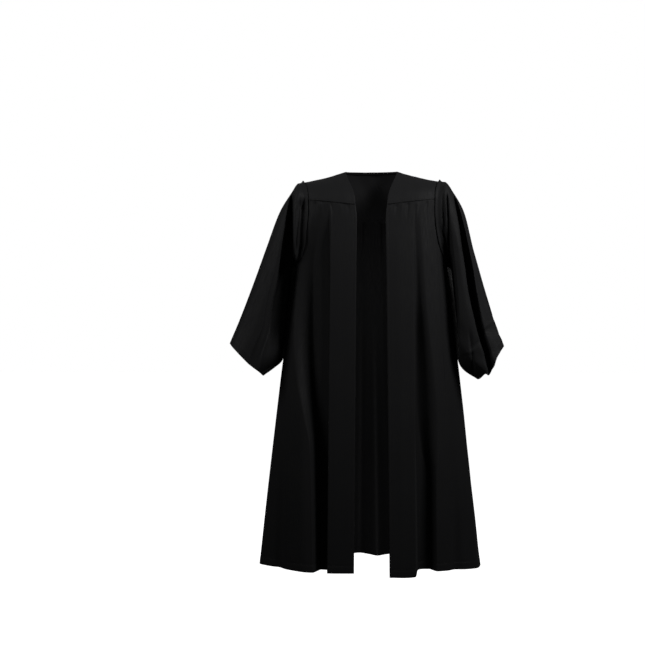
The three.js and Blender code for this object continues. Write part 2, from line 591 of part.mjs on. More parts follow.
function sleeve(side, stations, folds, troughs) {
  const edge = armholeEdge(side);
  const middle = edge.reduce((sum, start) => sum.add(start.point), new THREE.Vector3());
  middle.divideScalar(edge.length);
  const lines = edge.map(({ point, round }) => {
    const clear = middle.clone().sub(point).setX(0).normalize().setX(side).setLength(CLOTH);
    const onLine = [point.clone().add(clear), ...stations.map((station) => {
      let out = 0;
      let longer = 0;
      for (const fold of folds) {
        const centre = lerp(fold.head, fold.cuff, station.share);
        const apart = THREE.MathUtils.euclideanModulo(360 * round - centre + 180, 360) - 180;
        const height = hump(apart, fold.before, fold.after);
        out += fold.depth * height * smoothstep(station.share, fold.begin, fold.full);
        longer += fold.longer * height * smoothstep(station.share, CUFF_LONGER_FROM, 1);
      }
      const onRing = ringPoint(side, station, 2 * Math.PI * round, out);
      onRing.z -= longer;
      return onRing;
    })];
    const facing = clamp(TROUGH_FACING * Math.sin(2 * Math.PI * round), 0, 1);
    return SLEEVE_SHARES.map((share) => {
      const here = linePoint(onLine, [0, ...stations.map((row) => row.share)], share);
      const offSeam = smoothstep(share, 0, TROUGH_BEGINS);
      const deep = troughs.reduce((sum, rows) => sum + pleatDepth(rows, -here.z, Math.abs(here.x)), 0);
      here.y += facing * offSeam * deep;
      here.x = lerp(here.x, side * clearOfBody(Math.abs(here.x), here.y, -here.z), offSeam);
      return here;
    });
  });
  const order = side === RIGHT ? lines : [...lines].reverse();
  return clothWall(SLEEVE_SHARES.map((unused, down) => order.map((line) => line[down])), true);
}

// A point on the smooth line through one point for each station.
function linePoint(points, shares, share) {
  const rows = points.map((point, index) => ({ share: shares[index], x: point.x, y: point.y, z: point.z }));
  return new THREE.Vector3(...["x", "y", "z"].map((axis) => sizeAt(rows, "share", axis, share)));
}

const leftTroughs = [TROUGH_LEFT, TROUGH_LEFT_INNER];
addPiece("sleeve_right", sleeve(RIGHT, SLEEVE_RIGHT, SLEEVE_FOLDS_RIGHT, [TROUGH_RIGHT]));
addPiece("sleeve_left", sleeve(LEFT, SLEEVE_LEFT, SLEEVE_FOLDS_LEFT, leftTroughs));

export default gown;
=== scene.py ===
import math

import bpy
import numpy as np
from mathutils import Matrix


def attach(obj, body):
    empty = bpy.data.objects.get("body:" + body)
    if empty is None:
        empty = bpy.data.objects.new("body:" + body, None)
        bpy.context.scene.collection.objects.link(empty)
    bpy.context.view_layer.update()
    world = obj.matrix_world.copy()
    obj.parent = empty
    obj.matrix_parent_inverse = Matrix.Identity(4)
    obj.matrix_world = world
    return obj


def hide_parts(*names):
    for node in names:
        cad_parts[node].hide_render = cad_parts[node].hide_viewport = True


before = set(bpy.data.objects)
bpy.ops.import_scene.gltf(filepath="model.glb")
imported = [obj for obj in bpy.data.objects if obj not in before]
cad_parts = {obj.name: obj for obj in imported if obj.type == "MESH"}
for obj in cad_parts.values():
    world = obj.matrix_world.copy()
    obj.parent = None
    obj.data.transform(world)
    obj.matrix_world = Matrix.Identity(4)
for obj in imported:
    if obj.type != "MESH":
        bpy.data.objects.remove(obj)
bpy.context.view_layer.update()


# Front panels: two lengths of black woven cloth, each with a flat band down its front edge and a deep
# pleat beside it, eased into the yoke seam. Front edges and hems are turned in twice and stitched.

MM = 0.001
CLOTH_THICKNESS = 0.9
CURVE_STEPS = 160

FRONT_YOKE_DROP_EDGE = 122
FRONT_YOKE_DROP_ARM = 103
BACK_YOKE_DROP_CENTRE = 152
BACK_YOKE_DROP_ARM = 140
UNDERARM_DROP = 312
HEM_DROP = 1297
FOLD_WIDTH_AT_YOKE = 0.6
FRONT_ARM_THREAD = 0.665
BACK_ARM_THREAD = 0.33
ARMHOLE_POWER = 3
HEM_STITCH = 24
HEM_DENT = 0.3
HEM_DENT_WIDTH = 3.2
HEM_STEP = 0.35
HEM_STEP_ABOVE = 2
HEM_STEP_BELOW = 4
HEM_PUCKERS = (11, 37)
PUCKER = 0.2
PUCKER_SWAY = 1.5
EDGE_STITCH = 9
EDGE_DENT = 0.4
EDGE_DENT_WIDTH = 2.2
EDGE_ROLL = 0.9
EDGE_ROLL_WIDTH = 1.6
SEAM_DIP = 0.8
SEAM_DIP_WIDTH = 2.5
GATHER_BEGINS = 3.5
GATHER_FULL = 14
PANEL_WAVES = 0.4
PANEL_WAVES_BEGIN = 10
PANEL_WAVES_FULL = 160
WAVE_COUNT = 14
WAVE_WIDE = (30, 110)
WAVE_LONG = (2500, 9000)

# The body by drop below the neck: half width, reach of front and back, power of its rounded-square
# outline, half the front opening and sideways sway.
BODY_SECTIONS = {
    "drop": [100, 165, 312, 660, 1320],
    "half": [228, 234, 249, 288, 365],
    "front": [103, 112, 127, 142, 166],
    "back": [104, 112, 124, 147, 186],
    "power": [4.0, 3.6, 3.0, 2.6, 2.15],
    "opening": [55, 47, 48, 51, 56],
    "sway": [0, 0, -1, -3, -7],
}

# Threads fall from yoke to hem: 0 the right front edge, 1 the right side seam, 2 the centre back,
# 3 the left side seam, 4 the left front edge.
HEM = {
    "thread": [0, 0.3, 0.5, 1, 2, 3, 3.55, 3.66, 3.7, 4],
    "drop": [1299, 1301, 1300, 1292, 1301, 1298, 1293, 1296, 1310, 1311],
}

# Main folds of the body: thread at yoke and hem, depth at yoke and hem (troughs below nought),
# half-widths on either side, lean at the hem, and the drops where the fold begins and is full.
FOLD_COLUMNS = ("yoke", "hem", "top", "foot", "before", "after", "lean", "begin", "full")
BODY_FOLDS = [
    (0.66, 0.50, 3, 6, 22, 34, 0, 320, 900),
    (0.86, 0.74, 6, -12, 26, 24, 0, 330, 1250),
    (0.93, 0.90, 6, 8, 22, 18, 0, 340, 700),
    (1.22, 1.12, -4, -20, 24, 30, 0, 330, 1000),
    (1.42, 1.33, 3, 18, 20, 24, 6, 170, 900),
    (1.53, 1.47, -4, -30, 20, 26, 0, 160, 900),
    (1.66, 1.63, 4, 16, 22, 22, -5, 160, 850),
    (1.78, 1.77, -4, -27, 22, 20, 0, 160, 950),
    (1.90, 1.91, 4, 18, 20, 24, 5, 160, 800),
    (2.03, 2.06, -4, -31, 24, 22, 0, 160, 1000),
    (2.17, 2.20, 4, 15, 20, 20, -4, 160, 850),
    (2.29, 2.33, -4, -25, 20, 24, 0, 160, 900),
    (2.43, 2.50, 4, 19, 24, 22, 5, 160, 950),
    (2.56, 2.65, -4, -29, 22, 22, 0, 170, 900),
    (2.78, 2.86, 3, -14, 26, 24, 0, 330, 1100),
    (3.10, 3.14, 5, 7, 20, 26, 0, 340, 900),
    (3.20, 3.32, 2, -12, 22, 22, 0, 500, 1200),
    (3.45, 3.49, 3, 6, 30, 20, 0, 320, 950),
]

# Pleat beside each front band, by drop: distances of its two edges from the front edge, its depth,
# and how wide the cloth takes to turn in at each edge.
RIGHT, LEFT = -1, 1
PLEATS = {
    RIGHT: {
        "drop": [122, 180, 300, 430, 560, 690, 800, 900, 1320],
        "inner": [83, 83, 83, 83, 83, 83, 83, 83, 83],
        "outer": [112, 142, 186, 192, 187, 172, 152, 137, 123],
        "depth": [0, 8, 30, 44, 52, 54, 55, 56, 56],
        "inner_wall": [7, 7, 8, 8, 9, 10, 10, 10, 10],
        "outer_wall": [30, 44, 64, 60, 54, 44, 28, 16, 12],
    },
    LEFT: {
        "drop": [122, 180, 300, 430, 560, 760, 900, 1010, 1320],
        "inner": [88, 88, 88, 88, 87, 86, 84, 82, 82],
        "outer": [100, 104, 110, 115, 121, 133, 140, 148, 148],
        "depth": [0, 3, 7, 14, 28, 34, 36, 37, 38],
        "inner_wall": [7, 7, 8, 8, 9, 9, 12, 18, 20],
        "outer_wall": [18, 20, 24, 30, 44, 66, 50, 16, 12],
    },
}

# Small gathers under the front yoke seams: thread, depth, half-width and length down the panel.
GATHER_COLUMNS = ("thread", "depth", "wide", "long")
FRONT_GATHERS = [
    (0.10, -2.2, 5, 26),
    (0.20, 1.4, 6, 40),
    (0.318, -2.4, 3.5, 70),
    (0.46, 2.0, 6, 80),
    (0.54, -2.4, 5, 60),
    (3.47, -2.2, 5, 55),
    (3.60, 2.0, 6, 60),
    (3.72, -2.6, 5, 42),
    (3.80, 1.6, 5, 36),
    (3.87, -3.0, 5, 30),
    (3.95, 1.4, 4, 24),
]


def mix(start, end, share):
    return start + (end - start) * share


def smoothstep(at, begin, full):
    share = np.clip((at - begin) / (full - begin), 0, 1)
    return share * share * (3 - 2 * share)


def hump(apart, before, after):
    return np.exp(-((apart / np.where(apart < 0, before, after)) ** 2))


def ridge(apart, width):
    return np.exp(-((apart / width) ** 2))


def hermite(start, leave, end, arrive, share):
    rise = share * share * (3 - 2 * share)
    out = share * (1 - share) ** 2
    into = share * share * (share - 1)
    return start + (end - start) * rise + leave * out + arrive * into


def smooth_through(at, places, values):
    """Sizes on a smooth curve through the rows of a table."""
    at, places, values = (np.asarray(item, float) for item in (at, places, values))
    last = len(places) - 1
    low = np.maximum(np.arange(last + 1) - 1, 0)
    high = np.minimum(np.arange(last + 1) + 1, last)
    spread = (1,) * (values.ndim - 1)
    slope = (values[high] - values[low]) / (places[high] - places[low]).reshape(-1, *spread)
    row = np.clip(np.searchsorted(places, at) - 1, 0, last - 1)
    span = (places[row + 1] - places[row]).reshape(*at.shape, *spread)
    share = np.clip((at - places[row]).reshape(*at.shape, *spread) / span, 0, 1)
    return hermite(values[row], span * slope[row], values[row + 1], span * slope[row + 1], share)


def pleat_depth(pleat, drop, place):
    """Depth of a pleat at a place across it: full between its two edges."""
    size = {key: smooth_through(drop, pleat["drop"], pleat[key]) for key in pleat}
    turned_in = smoothstep(place, size["inner"], size["inner"] + size["inner_wall"])
    spread = size["outer_wall"] / 2
    turned_out = smoothstep(place, size["outer"] - spread, size["outer"] + spread)
    return size["depth"] * turned_in * (1 - turned_out)


def section_line(drop, face):
    """One quarter of each body section, from the front edge or the centre back to the side seam."""
    size = {key: smooth_through(drop, BODY_SECTIONS["drop"], BODY_SECTIONS[key]) for key in BODY_SECTIONS}
    bend = (2 / size["power"])[:, None]
    inner = size["opening"] / size["half"] if face == "front" else np.zeros_like(drop)
    first = np.arcsin(inner[:, None] ** (1 / bend))
    angle = mix(first, math.pi / 2, np.linspace(0, 1, CURVE_STEPS + 1))
    x = size["half"][:, None] * np.sin(angle) ** bend
    y = size[face][:, None] * np.maximum(np.cos(angle), 0) ** bend
    steps = np.hypot(np.diff(x), np.diff(y))
    along = np.concatenate([np.zeros((len(drop), 1)), np.cumsum(steps, axis=1)], axis=1)
    return {"x": x, "y": y, "along": along, "length": along[:, -1], "size": size, "reach": size[face]}


def point_along(line, distance):
    """Points at a distance along each section, and the square outward direction there."""
    step = np.clip((line["along"] < distance[:, None]).sum(axis=1) - 1, 0, CURVE_STEPS - 1)
    row = np.arange(len(distance))
    start, end = line["along"][row, step], line["along"][row, step + 1]
    share = (distance - start) / (end - start)
    x = mix(line["x"][row, step], line["x"][row, step + 1], share)
    y = mix(line["y"][row, step], line["y"][row, step + 1], share)
    half, reach, power = line["size"]["half"], line["reach"], line["size"]["power"]
    out_x = np.sign(x) * np.abs(x / half) ** (power - 1) / half
    out_y = np.sign(y) * np.abs(y / reach) ** (power - 1) / reach
    size = np.hypot(out_x, out_y)
    return x, y, out_x / size, out_y / size


FRONT_AT_YOKE = section_line(np.array([100.0]), "front")["length"][0]


def distance_round(thread, front, back):
    """Distance round the section from the right front edge; the front band keeps its width to the hem."""
    right = FRONT_AT_YOKE * thread + (front - FRONT_AT_YOKE) * thread**2
    left = FRONT_AT_YOKE * (4 - thread) + (front - FRONT_AT_YOKE) * (4 - thread) ** 2
    behind = front + (thread - 1) * back
    return np.where(thread <= 1, right, np.where(thread < 3, behind, 2 * (front + back) - left))


def body_points(thread, drop):
    """Points of the body in millimetres and their distance round it, with every main fold added."""
    thread, drop = np.broadcast_arrays(np.asarray(thread, float), np.asarray(drop, float))
    shape, thread, drop = thread.shape, thread.ravel(), drop.ravel()
    front, back = section_line(drop, "front"), section_line(drop, "back")
    lengths = front["length"], back["length"]
    around = distance_round(thread, *lengths)
    fall = np.clip((drop - UNDERARM_DROP) / (HEM_DROP - UNDERARM_DROP), 0, 1)
    widen = mix(FOLD_WIDTH_AT_YOKE, 1, fall)
    out, lean = np.zeros_like(drop), np.zeros_like(drop)
    for row in BODY_FOLDS:
        fold = dict(zip(FOLD_COLUMNS, row))
        centre = distance_round(mix(fold["yoke"], fold["hem"], fall), *lengths)
        height = hump(around - centre, fold["before"] * widen, fold["after"] * widen)
        height *= smoothstep(drop, fold["begin"], fold["full"])
        out += mix(fold["top"], fold["foot"], fall) * height
        lean += fold["lean"] * height * fall
    middle = lengths[0] + lengths[1]
    for side, from_edge in ((RIGHT, around), (LEFT, 2 * middle - around)):
        out -= pleat_depth(PLEATS[side], drop, from_edge)
    turn = np.where(thread < 2, 1, -1)
    from_back = np.abs(around - middle)
    is_front = (thread <= 1) | (thread >= 3)
    on_front = point_along(front, np.clip(middle - from_back + turn * lean, 0, lengths[0]))
    on_back = point_along(back, np.clip(from_back - turn * lean, 0, lengths[1]))
    x, y, out_x, out_y = (np.where(is_front, a, b) for a, b in zip(on_front, on_back))
    forward = np.where(is_front, -1, 1)
    sway = front["size"]["sway"] * smoothstep(2 - np.abs(thread - 2), 0, 1)
    points = np.stack([-turn * (x + out_x * out) + sway, forward * (y + out_y * out), -drop], axis=-1)
    return points.reshape(*shape, 3), around.reshape(shape)


def armhole_fall(across):
    """Share of the armhole's fall at a share of its width from the underarm."""
    return np.maximum(1 - across**ARMHOLE_POWER, 0) ** (1 / ARMHOLE_POWER)


def top_drop(thread):
    """Drop of the top edge of the body: the yoke seams, and the armholes between them."""
    thread = np.asarray(thread, float)
    share = np.where(thread < 2, thread, 4 - thread)
    back_start = 1 + BACK_ARM_THREAD
    yoke = mix(FRONT_YOKE_DROP_EDGE, FRONT_YOKE_DROP_ARM, share / FRONT_ARM_THREAD)
    before = np.clip((1 - share) / (1 - FRONT_ARM_THREAD), 0, 1)
    front_arm = mix(FRONT_YOKE_DROP_ARM, UNDERARM_DROP, armhole_fall(before))
    after = np.clip((share - 1) / BACK_ARM_THREAD, 0, 1)
    back_arm = mix(BACK_YOKE_DROP_ARM, UNDERARM_DROP, armhole_fall(after))
    back_yoke = mix(BACK_YOKE_DROP_ARM, BACK_YOKE_DROP_CENTRE, (share - back_start) / (2 - back_start))
    arms = np.where(share < 1, front_arm, back_arm)
    return np.where(share <= FRONT_ARM_THREAD, yoke, np.where(share < back_start, arms, back_yoke))


def lengths_along(points, axis):
    """Distance along each line of a grid of points."""
    steps = np.linalg.norm(np.diff(points, axis=axis), axis=-1)
    first = np.zeros_like(np.take(steps, [0], axis=axis))
    return np.concatenate([first, np.cumsum(steps, axis=axis)], axis=axis)


def outward(points, is_tube=False):
    """Unit directions square to a grid of points, towards the outside of the gown."""
    if is_tube:
        across = np.roll(points, -1, axis=1) - np.roll(points, 1, axis=1)
    else:
        across = np.gradient(points, axis=1)
    square = np.cross(across, np.gradient(points, axis=0))
    return square / np.maximum(np.linalg.norm(square, axis=-1, keepdims=True), 1e-9)


def slow_waves(across, down, seed):
    """Slight unevenness of hanging cloth: long shallow waves, at most about one unit high."""
    chance = np.random.default_rng(seed)
    height = np.zeros_like(across)
    for _ in range(WAVE_COUNT):
        wide, long = chance.uniform(*WAVE_WIDE), chance.uniform(*WAVE_LONG)
        phase = chance.uniform(0, 2 * math.pi)
        height += np.sin(2 * math.pi * (across / wide + chance.choice([-1, 1]) * down / long) + phase)
    return height / math.sqrt(WAVE_COUNT)


def stitch_pucker(across, pitch, drift):
    """Slight uneven puckers that a row of stitches draws up in the cloth."""
    return PUCKER * np.sin(across * 2 * math.pi / pitch + PUCKER_SWAY * np.sin(across / drift))


SLUB_STRETCH = (1.0, 0.06, 1.0)
THREAD_RISE = 0.35
COLOUR_A, COLOUR_B, COLOUR_OUT = 6, 7, 2

weave = bpy.data.node_groups.new("plain weave", "ShaderNodeTree")
weave.interface.new_socket("Cloth place", in_out="INPUT", socket_type="NodeSocketVector")
weave.interface.new_socket("Threads per metre", in_out="INPUT", socket_type="NodeSocketFloat")
for output in ("Height", "Tone", "Nap"):
    weave.interface.new_socket(output, in_out="OUTPUT", socket_type="NodeSocketFloat")


def add_node(tree, kind, links=(), **settings):
    node = tree.nodes.new(kind)
    for name, value in settings.items():
        setattr(node, name, value)
    for socket, source in dict(links).items():
        if isinstance(source, bpy.types.NodeSocket):
            tree.links.new(source, node.inputs[socket])
        else:
            node.inputs[socket].default_value = source
    return node


weave_in = add_node(weave, "NodeGroupInput")
weave_out = add_node(weave, "NodeGroupOutput")
place = weave_in.outputs["Cloth place"]
axes = add_node(weave, "ShaderNodeSeparateXYZ", {"Vector": place})
thread_turns = add_node(
    weave,
    "ShaderNodeMath",
    {0: weave_in.outputs["Threads per metre"], 1: 2 * math.pi},
    operation="MULTIPLY",
)
warp_and_weft = []
for axis in ("X", "Y"):
    counted = add_node(
        weave, "ShaderNodeMath", {0: axes.outputs[axis], 1: thread_turns.outputs[0]}, operation="MULTIPLY"
    )
    warp_and_weft.append(add_node(weave, "ShaderNodeMath", {0: counted.outputs[0]}, operation="SINE"))
crossing = add_node(
    weave,
    "ShaderNodeMath",
    {0: warp_and_weft[0].outputs[0], 1: warp_and_weft[1].outputs[0]},
    operation="MULTIPLY",
)
stretched = add_node(weave, "ShaderNodeVectorMath", {0: place, 1: SLUB_STRETCH}, operation="MULTIPLY")
slub = add_node(
    weave, "ShaderNodeTexNoise", {"Vector": stretched.outputs[0], "Scale": 420.0, "Detail": 3.0}
)
cloudy = add_node(weave, "ShaderNodeTexNoise", {"Vector": place, "Scale": 9.0, "Detail": 4.0})
rough = add_node(
    weave,
    "ShaderNodeMapRange",
    {"Value": slub.outputs["Fac"], "From Min": 0.3, "From Max": 0.7, "To Min": 0.62, "To Max": 0.8},
)
raised = add_node(
    weave,
    "ShaderNodeMath",
    {0: crossing.outputs[0], 1: THREAD_RISE, 2: slub.outputs["Fac"]},
    operation="MULTIPLY_ADD",
)
weave.links.new(raised.outputs[0], weave_out.inputs["Height"])
weave.links.new(cloudy.outputs["Fac"], weave_out.inputs["Tone"])
weave.links.new(rough.outputs["Result"], weave_out.inputs["Nap"])


def black_cloth(name, dark, light, threads, sheen):
    """Woven black cloth: threads raised a little, colour and nap slightly uneven."""
    material = bpy.data.materials.new(name)
    material.use_nodes = True
    tree = material.node_tree
    shader = tree.nodes["Principled BSDF"]
    on_cloth = add_node(tree, "ShaderNodeUVMap", uv_map="cloth_metres")
    woven = add_node(tree, "ShaderNodeGroup", node_tree=weave)
    woven.inputs["Threads per metre"].default_value = threads
    tree.links.new(on_cloth.outputs["UV"], woven.inputs["Cloth place"])
    tone = add_node(tree, "ShaderNodeMix", {"Factor": woven.outputs["Tone"]}, data_type="RGBA")
    tone.inputs[COLOUR_A].default_value = dark
    tone.inputs[COLOUR_B].default_value = light
    bump = add_node(
        tree,
        "ShaderNodeBump",
        {"Height": woven.outputs["Height"], "Strength": 0.25, "Distance": 0.0002},
    )
    tree.links.new(tone.outputs[COLOUR_OUT], shader.inputs["Base Color"])
    tree.links.new(woven.outputs["Nap"], shader.inputs["Roughness"])
    tree.links.new(bump.outputs["Normal"], shader.inputs["Normal"])
    shader.inputs["Specular IOR Level"].default_value = 0.3
    shader.inputs["Sheen Weight"].default_value = sheen
    shader.inputs["Sheen Roughness"].default_value = 0.45
    return material


gown_cloth = black_cloth("gown cloth", (0.010, 0.010, 0.011, 1), (0.014, 0.014, 0.015, 1), 1900.0, 0.05)


def add_mesh(name, vertices, faces, material, uvs=None):
    """A smooth mesh from vertices in millimetres."""
    mesh = bpy.data.meshes.new(name)
    mesh.from_pydata((np.asarray(vertices) * MM).tolist(), [], np.asarray(faces).tolist())
    if uvs is not None:
        layer = mesh.uv_layers.new(name="cloth_metres")
        layer.data.foreach_set("uv", uvs.ravel())
    mesh.polygons.foreach_set("use_smooth", np.ones(len(mesh.polygons), dtype=bool))
    mesh.materials.append(material)
    piece = bpy.data.objects.new(name, mesh)
    bpy.context.scene.collection.objects.link(piece)
    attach(piece, "root")
    return piece


def add_cloth(name, node, points, across, down, material, is_tube=False, thickness=CLOTH_THICKNESS):
    """A thin cloth shell on a grid of points; across and down measure the cloth for its weave."""
    rows, columns = points.shape[:2]
    number = np.arange(rows * columns).reshape(rows, columns)
    place = np.stack([across, down], axis=-1) * MM
    if is_tube:
        number = np.concatenate([number, number[:, :1]], axis=1)
        joined = place[:, :1].copy()
        joined[..., 0] += (place[:, -1:, 0] - place[:, -2:-1, 0]) + place[:, -1:, 0] - place[:, :1, 0]
        place = np.concatenate([place, joined], axis=1)

    def corners(grid):
        each = [grid[:-1, :-1], grid[1:, :-1], grid[1:, 1:], grid[:-1, 1:]]
        return np.stack([item.reshape(-1, *grid.shape[2:]) for item in each], axis=1)

    piece = add_mesh(name, points.reshape(-1, 3), corners(number), material, corners(place))
    shell = piece.modifiers.new("cloth thickness", "SOLIDIFY")
    shell.thickness = thickness * MM
    shell.offset = 0
    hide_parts(node)
    return piece


STITCH_LENGTH = 2.7
STITCH_PITCH = 3.4
STITCH_WIDTH = 0.6
STITCH_RISE = 0.28
STITCH_TAPER = 0.2
BEAD_FACES = np.array([(7, 6, 5, 4), (4, 5, 1, 0), (5, 6, 2, 1), (6, 7, 3, 2), (7, 4, 0, 3)])

black_thread = bpy.data.materials.new("black thread")
black_thread.use_nodes = True
thread_shader = black_thread.node_tree.nodes["Principled BSDF"]
thread_shader.inputs["Base Color"].default_value = (0.013, 0.013, 0.014, 1)
thread_shader.inputs["Roughness"].default_value = 0.5
thread_shader.inputs["Specular IOR Level"].default_value = 0.3


def stitch_row(line, out):
    """Corners of the beads along a line of points on the cloth."""
    along = lengths_along(line[:, None], 0)[:, 0]
    middle = np.arange(STITCH_PITCH, along[-1] - STITCH_PITCH, STITCH_PITCH)

    def at(place, values):
        return np.stack([np.interp(place, along, values[:, axis]) for axis in range(3)], axis=-1)

    start, end = at(middle - STITCH_LENGTH / 2, line), at(middle + STITCH_LENGTH / 2, line)
    up = at(middle, out)
    across = np.cross(up, end - start)
    across *= STITCH_WIDTH / 2 / np.linalg.norm(across, axis=-1, keepdims=True)
    low, high = up * (CLOTH_THICKNESS / 2 - STITCH_RISE / 2), up * (CLOTH_THICKNESS / 2 + STITCH_RISE)
    foot = [start - across, start + across, end + across, end - across]
    near, far = mix(start, end, STITCH_TAPER), mix(start, end, 1 - STITCH_TAPER)
    crown = [near - across / 2, near + across / 2, far + across / 2, far - across / 2]
    return np.stack([*(corner + low for corner in foot), *(corner + high for corner in crown)], axis=1)


def add_stitches(name, lines):
    """Rows of stitches as one joined mesh, each bead of thread in the dent that the row makes."""
    beads = np.concatenate([stitch_row(*line) for line in lines])
    faces = BEAD_FACES + 8 * np.arange(len(beads))[:, None, None]
    return add_mesh(name, beads.reshape(-1, 3), faces.reshape(-1, 4), black_thread)


PANEL_ROWS = 190
ROWS_BELOW_TOP = np.array([0, 1.2, 2.4, 3.8, 5.5, 7.5, 10, 13, 17, 22])
ROWS_ABOVE_HEM = np.array([38, 33, 29, 26.5, 25, 24, 23, 21.5, 19, 15, 10, 5, 2, 0])
PLAIN_FROM_TOP = 28
PLAIN_FROM_HEM = 44


def body_panel(threads, straight, gathers, seed):
    """Grid of a body panel from its top edge to its hem, with gathers, hem and slight unevenness.
    Its straight thread is the front edge or the centre back, and the cloth is measured from there."""
    length = HEM_DROP - FRONT_YOKE_DROP_EDGE
    plain = np.linspace(PLAIN_FROM_TOP / length, 1 - PLAIN_FROM_HEM / length, PANEL_ROWS)
    share = np.concatenate([ROWS_BELOW_TOP / length, plain, 1 - ROWS_ABOVE_HEM / length])[:, None]
    top, hem = top_drop(threads), smooth_through(threads, HEM["thread"], HEM["drop"])
    drop = mix(top, hem, share)
    points, around = body_points(threads[None, :], drop)
    around = around - around[:, [np.argmin(np.abs(threads - straight))]]
    from_top, from_hem = drop - top, hem - drop
    waves_shown = smoothstep(from_top, PANEL_WAVES_BEGIN, PANEL_WAVES_FULL)
    out = PANEL_WAVES * slow_waves(around, drop, seed) * waves_shown
    for row in gathers:
        gather = dict(zip(GATHER_COLUMNS, row))
        centre = np.array([np.interp(gather["thread"], threads, line) for line in around])[:, None]
        height = hump(around - centre, gather["wide"], gather["wide"])
        height *= smoothstep(from_top, GATHER_BEGINS, GATHER_FULL)
        out += gather["depth"] * height * ridge(from_top, gather["long"])
    out -= SEAM_DIP * ridge(from_top, SEAM_DIP_WIDTH)
    dent = stitch_pucker(around, *HEM_PUCKERS) - HEM_DENT
    out += dent * ridge(from_hem - HEM_STITCH, HEM_DENT_WIDTH)
    out += HEM_STEP * smoothstep(-from_hem, -HEM_STITCH - HEM_STEP_ABOVE, -HEM_STITCH + HEM_STEP_BELOW)
    return points, around, drop, out


BAND_THREAD = 0.27
BAND_COLUMNS = 28
FRONT_COLUMNS = 84
ARMHOLE_COLUMNS = 40
HEM_STITCH_ROW = list(ROWS_ABOVE_HEM).index(HEM_STITCH) - len(ROWS_ABOVE_HEM)

arm_steps = np.linspace(0, 1, ARMHOLE_COLUMNS + 1) * math.pi / 2
front_arm_threads = 1 - (1 - FRONT_ARM_THREAD) * np.cos(arm_steps)
right_front_threads = np.concatenate([
    np.linspace(0, BAND_THREAD, BAND_COLUMNS, endpoint=False),
    np.linspace(BAND_THREAD, FRONT_ARM_THREAD, FRONT_COLUMNS, endpoint=False),
    front_arm_threads,
])
left_front_threads = 4 - right_front_threads[::-1]
for name, threads, edge, seed, flat, area in (
    ("front_right", right_front_threads, 0, 3, (0.48, 1.21), 0.435),
    ("front_left", left_front_threads, 4, 5, (0.44, 1.2), 0.396),
):
    gathers = [row for row in FRONT_GATHERS if threads[0] < row[0] < threads[-1]]
    points, around, drop, out = body_panel(threads, edge, gathers, seed)
    from_edge = np.abs(around)
    out -= EDGE_DENT * ridge(from_edge - EDGE_STITCH, EDGE_DENT_WIDTH)
    out -= EDGE_ROLL * ridge(from_edge, EDGE_ROLL_WIDTH)
    points = points + outward(points) * out[..., None]
    out = outward(points)
    column = np.argmin(np.abs(from_edge[0] - EDGE_STITCH))
    edge_row = points[:, column], out[:, column]
    hem_row = points[HEM_STITCH_ROW], out[HEM_STITCH_ROW]
    stitches = add_stitches(f"{name}_stitches", [edge_row, hem_row])
    panel = add_cloth(f"{name}_cloth", name, points, around, drop, gown_cloth)


# Back panel: one wide length of the same cloth, gathered by hand into the back yoke seam so that it
# falls in uneven flutes, with the same turned and stitched hem.

BACK_COLUMNS = 150
CENTRE_BACK = 2
BACK_SEED = 7
GATHER_SEED = 11
GATHER_COUNT = 34
GATHER_INSET = 0.03
GATHER_SHIFT = 0.012
GATHER_DEPTH = (1.5, 3.6)
GATHER_WIDE = (4.5, 7)
GATHER_LONG = (50, 240)

chance = np.random.default_rng(GATHER_SEED)
spots = np.linspace(1 + BACK_ARM_THREAD + GATHER_INSET, 3 - BACK_ARM_THREAD - GATHER_INSET, GATHER_COUNT)
BACK_GATHERS = [
    (
        spot + chance.uniform(-GATHER_SHIFT, GATHER_SHIFT),
        chance.uniform(*GATHER_DEPTH) * (-1) ** index,
        chance.uniform(*GATHER_WIDE),
        chance.uniform(*GATHER_LONG),
    )
    for index, spot in enumerate(spots)
]

back_arm_threads = 1 + BACK_ARM_THREAD * np.sin(arm_steps)
right_back_threads = np.concatenate([
    back_arm_threads[:-1], np.linspace(1 + BACK_ARM_THREAD, CENTRE_BACK, BACK_COLUMNS // 2 + 1)
])
back_threads = np.concatenate([right_back_threads, 4 - right_back_threads[-2::-1]])
points, around, drop, out = body_panel(back_threads, CENTRE_BACK, BACK_GATHERS, BACK_SEED)
points = points + outward(points) * out[..., None]
stitches = add_stitches("back_stitches", [(points[HEM_STITCH_ROW], outward(points)[HEM_STITCH_ROW])])
back_panel = add_cloth("back_cloth", "back", points, around, drop, gown_cloth)


# Yokes: flat shaped pieces over the shoulders, two in front and one behind. Their lower edges are
# turned under and lapped over the gathered panels, with one row of stitches close to the fold.

NECK_HALF_WIDTH = 85
NECK_Y = 8
BACK_NECK_DEPTH = 64
BACK_NECK_RISE = 8
BACK_NECK_TILT = 62
NECK_POINT_TILT = 30
SHOULDER_TILT = 9
SHOULDER_HALF_WIDTH = 225
SHOULDER_Y = 4
SHOULDER_DROP = 35.5
SHOULDER_DIP = 3
YOKE_SEAM_LEAN = 0.2
BACK_LAP = 1.025
YOKE_WAVES = 0.35
LAP_RISE = 0.9
LAP_RISE_WIDTH = 9
YOKE_STITCH = 4
YOKE_DENT = 0.35
YOKE_DENT_WIDTH = 1.5
SHOULDER_SEAM_DIP = 0.6
SHOULDER_SEAM_WIDTH = 2.5


def shoulder_point(side, share):
    share = np.asarray(share, float)
    x = side * mix(NECK_HALF_WIDTH, SHOULDER_HALF_WIDTH, share)
    y = mix(NECK_Y, SHOULDER_Y, share)
    return np.stack([x, y, -SHOULDER_DROP * share - SHOULDER_DIP * np.sin(math.pi * share)], axis=-1)


